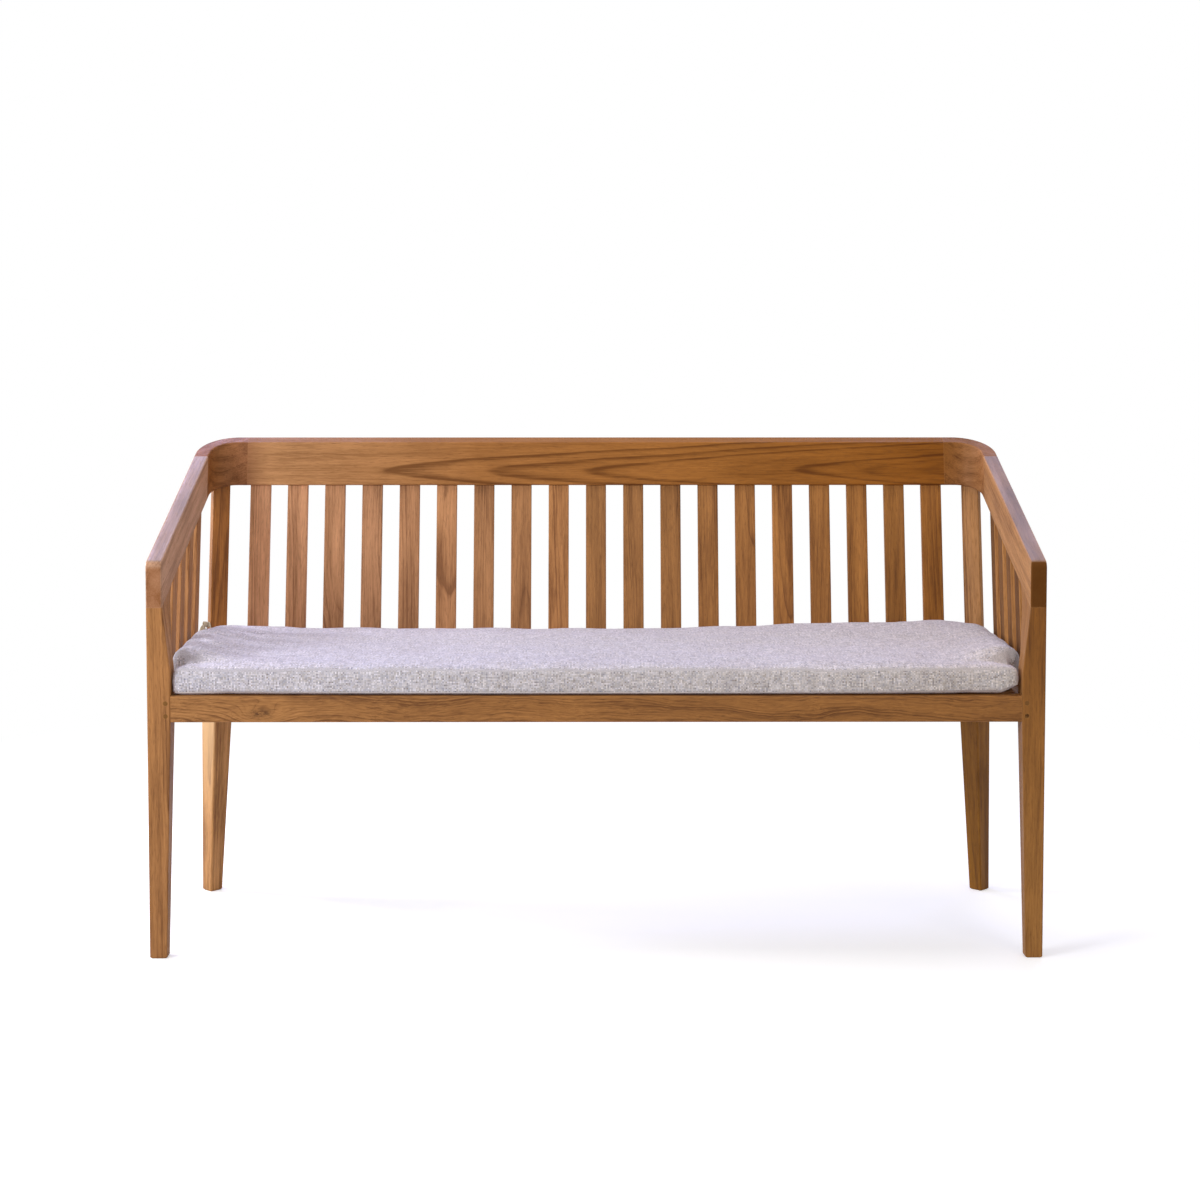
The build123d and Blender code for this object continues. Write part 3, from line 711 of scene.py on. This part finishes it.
# Plan outline of each end: half width along the depth. The rear part is the same on both.
REAR_OUTLINE = (
    (0.1050, 0.7214), (0.1213, 0.7208), (0.1320, 0.7198),
    (0.1450, 0.7150), (0.1560, 0.7070), (0.1640, 0.6965),
)
LEFT_END = (
    (-0.2800, 0.7000), (-0.2765, 0.7075), (-0.2720, NOTCH_LIMIT), (-0.2500, NOTCH_LIMIT),
    (-0.2445, 0.7060), (-0.2370, 0.6995), (-0.2310, 0.7010), (-0.2230, 0.7150),
    (-0.2120, END_LIMIT), *REAR_OUTLINE,
)
RIGHT_END = (
    (-0.2800, 0.6960), (-0.2760, 0.7035), (-0.2700, 0.7075), (-0.2500, 0.7075),
    (-0.2440, 0.7040), (-0.2380, 0.7000), (-0.2310, 0.7030), (-0.2200, 0.7150),
    (-0.2070, END_LIMIT), *REAR_OUTLINE,
)
FRONT_EDGE = 0.2780
REAR_EDGE = 0.1708
BANDS = (0.06, 0.28, 0.52, 0.76, 0.94)  # heights, as shares, at which the plan is measured
BULGE = 0.0050
SIDE_HEIGHT = 0.054
CROWN_HEIGHT = 0.048

# Heights of the lifts along X or Y: places, then heights.
REAR_LIFT = (
    (-0.72, -0.54, -0.20, 0.0, 0.20, 0.46, 0.64, 0.72),
    (0.0022, 0.0020, 0.0, 0.0, 0.002, 0.0100, 0.0130, 0.0080),
)
LEFT_LIFT = (
    (-0.2375, -0.222, -0.205, -0.15, -0.05, 0.0, 0.06, 0.14, 0.17),
    (0.0, 0.0110, 0.0175, 0.0185, 0.0175, 0.0165, 0.0105, 0.0045, 0.0),
)
RIGHT_LIFT = (
    (-0.2375, -0.222, -0.205, -0.13, -0.06, 0.06, 0.14, 0.17),
    (0.0, 0.0110, 0.0190, 0.0170, 0.0130, 0.0065, 0.0010, 0.0),
)
OFF_RAIL = (
    (-0.70, -0.62, -0.35, 0.10, 0.45, 0.60, 0.66),
    (0.0006, 0.0018, 0.0011, 0.0012, 0.0017, 0.0026, 0.0038),
)
CORNER_LIFT = 0.0090

# Soft folds that run in from the ends: start, end, width, depth.
FOLDS = (
    ((-0.708, -0.167), (-0.687, -0.207), 0.009, 0.0034),
    ((-0.687, -0.207), (-0.662, -0.250), 0.010, 0.0026),
    ((-0.706, -0.100), (-0.663, -0.145), 0.010, 0.0034),
    ((-0.663, -0.145), (-0.630, -0.122), 0.012, 0.0030),
    ((-0.690, -0.043), (-0.622, -0.030), 0.013, 0.0036),
    ((-0.706, 0.040), (-0.612, 0.049), 0.015, 0.0036),
    ((-0.700, 0.110), (-0.630, 0.112), 0.015, 0.0020),
    ((0.690, -0.060), (0.640, -0.085), 0.018, 0.0016),
)

# Tucks at the two notches, with short creases: start, end, width, rise, only on the top or not.
TUCKS = (
    ((-0.716, -0.240), (-0.702, -0.233), 0.006, -0.0110, False),
    ((-0.704, -0.232), (-0.690, -0.224), 0.006, -0.0036, True),
    ((-0.708, -0.214), (-0.694, -0.205), 0.007, 0.0020, True),
    ((0.714, -0.238), (0.704, -0.232), 0.005, -0.0080, False),
    ((0.705, -0.244), (0.7015, -0.220), 0.0046, -0.0032, True),
    ((0.696, -0.250), (0.694, -0.226), 0.005, 0.0018, True),
)

# Slow waves of the filling: turns along X and Y, start, share.
WAVES = ((31, 9, 0.6, 1.0), (47, -33, 2.1, 1.0), (13, 71, 0.0, 0.8))
WAVE_HEIGHT = 0.0007

# Upright creases in the front face: place, width, depth.
CREASES = (
    (-0.335, 0.006, 0.0016),
    (0.231, 0.007, 0.0014),
    (0.555, 0.006, 0.0018),
    (0.640, 0.014, 0.0012),
)
CREASE_SLANT = 0.006


def bulge(share):
    """How far the side lies inside its widest line."""
    return BULGE * np.abs(2 * np.clip(share, 0, 1) - 1.0) ** 2.2


def height_share(points, base, height):
    """Height above the base as a share, a little over 1 at the crown."""
    return np.clip((points[:, 2] - base) / height, 0.0, 1.15)


def by_height(share, values):
    """Values per band, read between the bands for each point."""
    place = np.clip(np.interp(share, BANDS, np.arange(len(BANDS))), 0, len(BANDS) - 1)
    low = np.minimum(place.astype(int), len(BANDS) - 2)
    part = place - low
    pick = np.arange(len(share))
    return values[low, pick] * (1 - part) + values[low + 1, pick] * part


def face_shift(points, share, side, target, reach):
    """Move along Y that brings the front or the rear face to its place, bulged at mid height."""
    inner = np.abs(points[:, 0]) < 0.60
    rows = []
    for band in BANDS:
        near = inner & (np.abs(share - band) < 0.10)
        now = np.percentile(points[near, 1] * side, 99.8)
        rows.append(np.full(len(points), target - bulge(band) - now))
    move = by_height(share, np.array(rows))
    return side * move * smoothstep(*reach, points[:, 1] * side)


def end_shift(points, share, side, outline):
    """Move along X that brings one end to its plan outline, bulged at mid height."""
    depth = np.arange(-0.282, 0.1721, 0.003)
    aim = np.interp(depth, *zip(*outline))
    rows = []
    for band in BANDS:
        now = np.full(len(depth), np.nan)
        belt = (np.abs(share - band) < 0.12) & (points[:, 0] * side > 0.64)
        for i, at in enumerate(depth):
            near = belt & (np.abs(points[:, 1] - at) < 0.0040)
            if near.any():
                now[i] = np.max(points[near, 0] * side)
        known = ~np.isnan(now)
        now = np.interp(depth, depth[known], now[known])
        gap = np.convolve(np.pad(aim - bulge(band) - now, 1, "edge"), (0.25, 0.5, 0.25), "valid")
        rows.append(np.interp(points[:, 1], depth, gap))
    move = by_height(share, np.array(rows)) * smoothstep(0.172, 0.162, points[:, 1])
    return side * move * smoothstep(0.600, 0.690, points[:, 0] * side)


def smoothed(points, edges, passes):
    """Points drawn halfway to the mean of their neighbours, several times."""
    number = len(points)
    count = np.bincount(edges.ravel(), minlength=number)[:, None]
    for _ in range(passes):
        total = np.zeros_like(points)
        for a, b in ((0, 1), (1, 0)):
            for axis in range(3):
                pull = points[edges[:, b], axis]
                total[:, axis] += np.bincount(edges[:, a], weights=pull, minlength=number)
        points = 0.5 * points + 0.5 * total / count
    return points


def shaped_cushion(points, lowest, edges):
    """Full plan size again, bulged sides, and the folds and lifts that the photo shows."""
    points = smoothed(points, edges, 3)
    share = height_share(points, np.percentile(points[:, 2], 0.5), SIDE_HEIGHT)
    points[:, 1] += face_shift(points, share, -1, FRONT_EDGE, (0.215, 0.262))
    points[:, 1] += face_shift(points, share, 1, REAR_EDGE, (0.110, 0.160))
    for _ in range(2):
        left = end_shift(points, share, -1, LEFT_END)
        points[:, 0] += left + end_shift(points, share, 1, RIGHT_END)
    x, y = points[:, 0], points[:, 1]
    share = height_share(points, lowest, CROWN_HEIGHT)
    top = smoothstep(0.60, 0.95, share)
    # The rear edge stands higher at both ends, most at the right.
    lift = np.interp(x, *REAR_LIFT) * smoothstep(-0.12, 0.14, y)
    # The filling stands up along the side edges.
    side_lift = np.where(x < 0, np.interp(y, *LEFT_LIFT), np.interp(y, *RIGHT_LIFT))
    lift = (lift + side_lift * smoothstep(0.585, 0.708, np.abs(x))) * share
    for start, end, width, depth in FOLDS:
        fold = depth * near_line(points, start, end, width) * top
        lift = lift - fold * smoothstep(0.720, 0.690, np.abs(x))
    for start, end, width, rise, on_top in TUCKS:
        lift = lift + rise * near_line(points, start, end, width) * (top if on_top else share)
    waves = sum(k * np.sin(a * x + b * y + c) for a, b, c, k in WAVES)
    lift = lift + WAVE_HEIGHT * top * waves
    # The lower right corner stands off the seat.
    corner = smoothstep(0.672, 0.704, x) * smoothstep(-0.10, -0.20, y)
    lift = lift + CORNER_LIFT * (1 - share) * corner
    # The lower front edge stands a little off the rail, most at the right.
    low_front = smoothstep(0.55, 0.0, share) * smoothstep(-0.225, -0.258, y)
    lift = lift + np.interp(x, *OFF_RAIL) * low_front
    front = smoothstep(-0.262, -0.274, y) * smoothstep(0.0, 0.25, share)
    draw_back = np.zeros(len(points))
    for place, width, depth in CREASES:
        off = (x - place + CREASE_SLANT * (share - 0.5)) / width
        draw_back += depth * np.exp(-(off**2)) * front
    moved = np.stack([x, y + draw_back, points[:, 2] + lift], axis=1)
    # Clear of the legs and the side slats.
    limit = np.where(moved[:, 1] < NOTCH_DEPTH, NOTCH_LIMIT, END_LIMIT)
    moved[:, 0] = np.clip(moved[:, 0], -limit, limit)
    moved[:, 2] = np.maximum(moved[:, 2], lowest)
    return moved


set_points(cushion.data, shaped)
cushion.modifiers.new("finer", "SUBSURF").levels = 1
graph = bpy.context.evaluated_depsgraph_get()
fine_mesh = bpy.data.meshes.new_from_object(cushion.evaluated_get(graph))
cushion.modifiers.clear()
cushion.data = fine_mesh
set_points(fine_mesh, shaped_cushion(points_of(fine_mesh), lowest, edges_of(fine_mesh)))
smooth_shaded(fine_mesh)
fine_mesh.materials.append(linen())
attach(cushion, "cushion")
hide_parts("cushion")


# Tie: a woven tape round the left corner slat, knotted at its outer edge, with two short ends.
CORNER_TURN = math.radians(32.5)
TIE_ORIGIN = Vector((-0.70943, 0.17147, 0.444))
SLAT_UP = Vector(LEAN)
SLAT_BACK = Vector((0, math.cos(RAKE), -math.sin(RAKE)))
OUT = Vector((-math.cos(CORNER_TURN), 0, 0)) - SLAT_BACK * math.sin(CORNER_TURN)
THROUGH = Vector((-math.sin(CORNER_TURN), 0, 0)) + SLAT_BACK * math.cos(CORNER_TURN)
TAPE_WIDTH = 0.0105
TAPE_THICK = 0.0013
# Cross-section of the tape, as shares of half the width and half the thickness.
TAPE_SECTION = (
    (-1, 0), (-0.86, 1), (-0.3, 1.15), (0.3, 1.15), (0.86, 1),
    (1, 0), (0.86, -1), (0.3, -1.15), (-0.3, -1.15), (-0.86, -1),
)
LOOP_OUT = 0.0182  # half sizes of the loop, along the slat's width and thickness
LOOP_THROUGH = 0.0082
LOOP_CORNER = 0.0024
CORNER_STEPS = 5
LOOP_LOW = 0.034  # the band runs behind the cushion and rises to the knot
KNOT_LEVEL = 0.0550
KNOT_OUT = 0.0240
KNOT_STEPS = 16
END_STEPS = 10
TAPE_ENDS = ((1, 0.015), (-1, 0.011))  # side and length of each end


def at(out, through, up):
    """Point in the corner slat's own directions."""
    return TIE_ORIGIN + OUT * out + THROUGH * through + SLAT_UP * up


def tape(line, widths, closed=False):
    """Flat tape along a line; widths gives the direction and size across it at each point."""
    made = bmesh.new()
    rings = []
    count = len(line)
    for i, (point, wide) in enumerate(zip(line, widths)):
        before = line[(i - 1) % count] if closed or i else line[0]
        after = line[(i + 1) % count] if closed or i < count - 1 else line[-1]
        along = (after - before).normalized()
        wide = wide - along * wide.dot(along)
        thick = along.cross(wide).normalized() * TAPE_THICK / 2
        half = wide / 2
        rings.append([made.verts.new(point + half * a + thick * b) for a, b in TAPE_SECTION])
    pairs = list(zip(rings, rings[1:])) + ([(rings[-1], rings[0])] if closed else [])
    for a, b in pairs:
        for i in range(len(a)):
            j = (i + 1) % len(a)
            made.faces.new((a[i], a[j], b[j], b[i]))
    if not closed:
        made.faces.new(list(reversed(rings[0])))
        made.faces.new(rings[-1])
    bmesh.ops.recalc_face_normals(made, faces=made.faces)
    return made


def round_slat():
    """Closed line round the slat: rounded corners, straight sides."""
    line = []
    for k, (a, b) in enumerate(((1, 1), (-1, 1), (-1, -1), (1, -1))):
        for i in range(CORNER_STEPS + 1):
            angle = math.pi / 2 * (k + i / CORNER_STEPS)
            out = a * (LOOP_OUT - LOOP_CORNER) + LOOP_CORNER * math.cos(angle)
            through = b * (LOOP_THROUGH - LOOP_CORNER) + LOOP_CORNER * math.sin(angle)
            rise = (KNOT_LEVEL - LOOP_LOW) * max(out / LOOP_OUT, 0.0) ** 5
            line.append(at(out, through, LOOP_LOW + rise))
    return line


def tie_pieces():
    """The loop, the wrap of the knot and the two ends."""
    loop = round_slat()
    yield tape(loop, [SLAT_UP * TAPE_WIDTH] * len(loop), closed=True)
    wrap = []
    for i in range(KNOT_STEPS):
        angle = 2 * math.pi * i / KNOT_STEPS
        wrap.append(at(KNOT_OUT, 0.0038 * math.cos(angle), KNOT_LEVEL + 0.0046 * math.sin(angle)))
    yield tape(wrap, [OUT * 0.0085 + SLAT_UP * 0.0008] * KNOT_STEPS, closed=True)
    for sign, reach in TAPE_ENDS:
        line, wide = [], []
        for i in range(END_STEPS + 1):
            share = i / END_STEPS
            out = KNOT_OUT + 0.0015 + 0.003 * math.sin(share * 2.2)
            through = sign * (0.002 + 0.007 * share)
            line.append(at(out, through, KNOT_LEVEL - 0.001 - reach * share**1.25))
            wide.append((OUT * 0.8 + THROUGH * 0.5 * sign) * (0.0060 + 0.003 * share))
        yield tape(line, wide)


tie_mesh = bpy.data.meshes.new("slat_tie")
total = bmesh.new()
for piece in tie_pieces():
    part_mesh = bpy.data.meshes.new("part")
    piece.to_mesh(part_mesh)
    total.from_mesh(part_mesh)
    bpy.data.meshes.remove(part_mesh)
    piece.free()
total.to_mesh(tie_mesh)
total.free()
tie = bpy.data.objects.new("slat_tie", tie_mesh)
scene.collection.objects.link(tie)
smooth_shaded(tie_mesh)
rounder = tie.modifiers.new("finer", "SUBSURF")
rounder.levels = 1
rounder.render_levels = 1


def tape_cloth():
    """Twill tape in a dull greige."""
    t = Tree(bpy.data.materials.new("tie_tape"))
    coords = t.node("ShaderNodeTexCoord").outputs["Object"]
    ribs = t.node(
        "ShaderNodeTexWave",
        {"Vector": coords, "Scale": 260.0, "Distortion": 1.5, "Detail": 1.0},
        wave_type="BANDS",
        bands_direction="DIAGONAL",
    ).outputs["Fac"]
    mottle = t.noise(coords, 420.0, 3.0, 0.6)
    colour = t.mix(t.remap(mottle, 0.3, 0.7), srgb("97846c"), srgb("cbb99c"))
    colour = t.mix(t.math("MULTIPLY", ribs, 0.35), colour, srgb("6f6355"))
    bump = t.node("ShaderNodeBump", {"Height": ribs, "Strength": 0.5, "Distance": 0.0003})
    shader = t.node(
        "ShaderNodeBsdfPrincipled",
        {
            "Base Color": colour,
            "Roughness": t.remap(mottle, 0.3, 0.7, 0.75, 0.92),
            "Normal": bump.outputs["Normal"],
            "Sheen Weight": 0.3,
            "Sheen Roughness": 0.5,
        },
    )
    return t.finish(shader.outputs[0])


tie_mesh.materials.append(tape_cloth())
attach(tie, "frame")
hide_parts("cushion_tie")


# Floor: it catches the shadow near the bench and fades to white.
REACH = 14.0
WHITE = (1, 1, 1)
floor_mesh = bpy.data.meshes.new("floor")
floor_corners = [(x * REACH, y * REACH, 0) for x, y in ((-1, -1), (1, -1), (1, 1), (-1, 1))]
floor_mesh.from_pydata(floor_corners, [], [(0, 1, 2, 3)])
floor = bpy.data.objects.new("floor", floor_mesh)
scene.collection.objects.link(floor)
t = Tree(bpy.data.materials.new("floor"))
plain = t.node("ShaderNodeBsdfDiffuse", {"Color": (0.80, 0.80, 0.80)}).outputs[0]
glow = t.node("ShaderNodeEmission", {"Color": WHITE, "Strength": 0.45}).outputs[0]
near = t.node("ShaderNodeAddShader", {0: plain, 1: glow}).outputs[0]
white = t.node("ShaderNodeEmission", {"Color": WHITE, "Strength": 1.0}).outputs[0]
distance = t.vector("LENGTH", t.node("ShaderNodeTexCoord").outputs["Object"])
fade = t.remap(distance, 1.0, 2.2)
seen = t.node("ShaderNodeMixShader", {0: fade, 1: near, 2: white}).outputs[0]
camera_ray = t.node("ShaderNodeLightPath").outputs["Is Camera Ray"]
chosen = t.node("ShaderNodeMixShader", {0: camera_ray, 1: plain, 2: seen}).outputs[0]
floor_mesh.materials.append(t.finish(chosen))

# World: white where it is seen, and a soft warm light for the rest.
t = Tree(bpy.data.worlds.new("studio"))
rays = t.node("ShaderNodeLightPath").outputs
either = t.math("MAXIMUM", rays["Is Camera Ray"], rays["Is Glossy Ray"])
either = t.math("MAXIMUM", either, rays["Is Transmission Ray"])
soft = t.node("ShaderNodeBackground", {"Color": (1.0, 0.97, 0.93), "Strength": 0.30}).outputs[0]
white = t.node("ShaderNodeBackground", {"Color": WHITE, "Strength": 1.0}).outputs[0]
blend = t.node("ShaderNodeMixShader", {0: either, 1: soft, 2: white}).outputs[0]
scene.world = t.finish(blend, "ShaderNodeOutputWorld")


# Lamps: name, place, aim, size, power, colour.
LAMPS = (
    ("key", (-2.7, -2.3, 1.9), (0.1, 0, 0.5), (1.3, 1.3), 72, (0.94, 0.96, 1.0)),
    ("side", (-2.9, 0.75, 1.2), (-0.4, 0, 0.5), (0.6, 0.6), 54, (0.93, 0.96, 1.0)),
    ("front", (2.2, -3.9, 1.6), (-0.2, 0, 0.5), (1.6, 1.6), 32, (1.0, 0.93, 0.84)),
    ("top", (0.0, 0.1, 3.2), (0, 0, 0.5), (3.0, 1.6), 49, (0.92, 0.90, 1.0)),
    ("rear_left", (-1.5, 2.5, 2.8), (-0.5, 0, 0.6), (1.2, 1.2), 46, (0.42, 0.46, 1.0)),
    ("rear_right", (1.5, 2.5, 2.8), (0.5, 0, 0.6), (1.2, 1.2), 15, (0.42, 0.46, 1.0)),
)
for name, place, aim, size, power, colour in LAMPS:
    data = bpy.data.lights.new(name, "AREA")
    data.shape = "RECTANGLE"
    data.size, data.size_y = size
    data.energy = power
    data.color = colour
    lamp = bpy.data.objects.new(name, data)
    lamp.location = place
    lamp.rotation_euler = (Vector(aim) - Vector(place)).to_track_quat("-Z", "Y").to_euler()
    scene.collection.objects.link(lamp)

scene.view_settings.view_transform = "Standard"
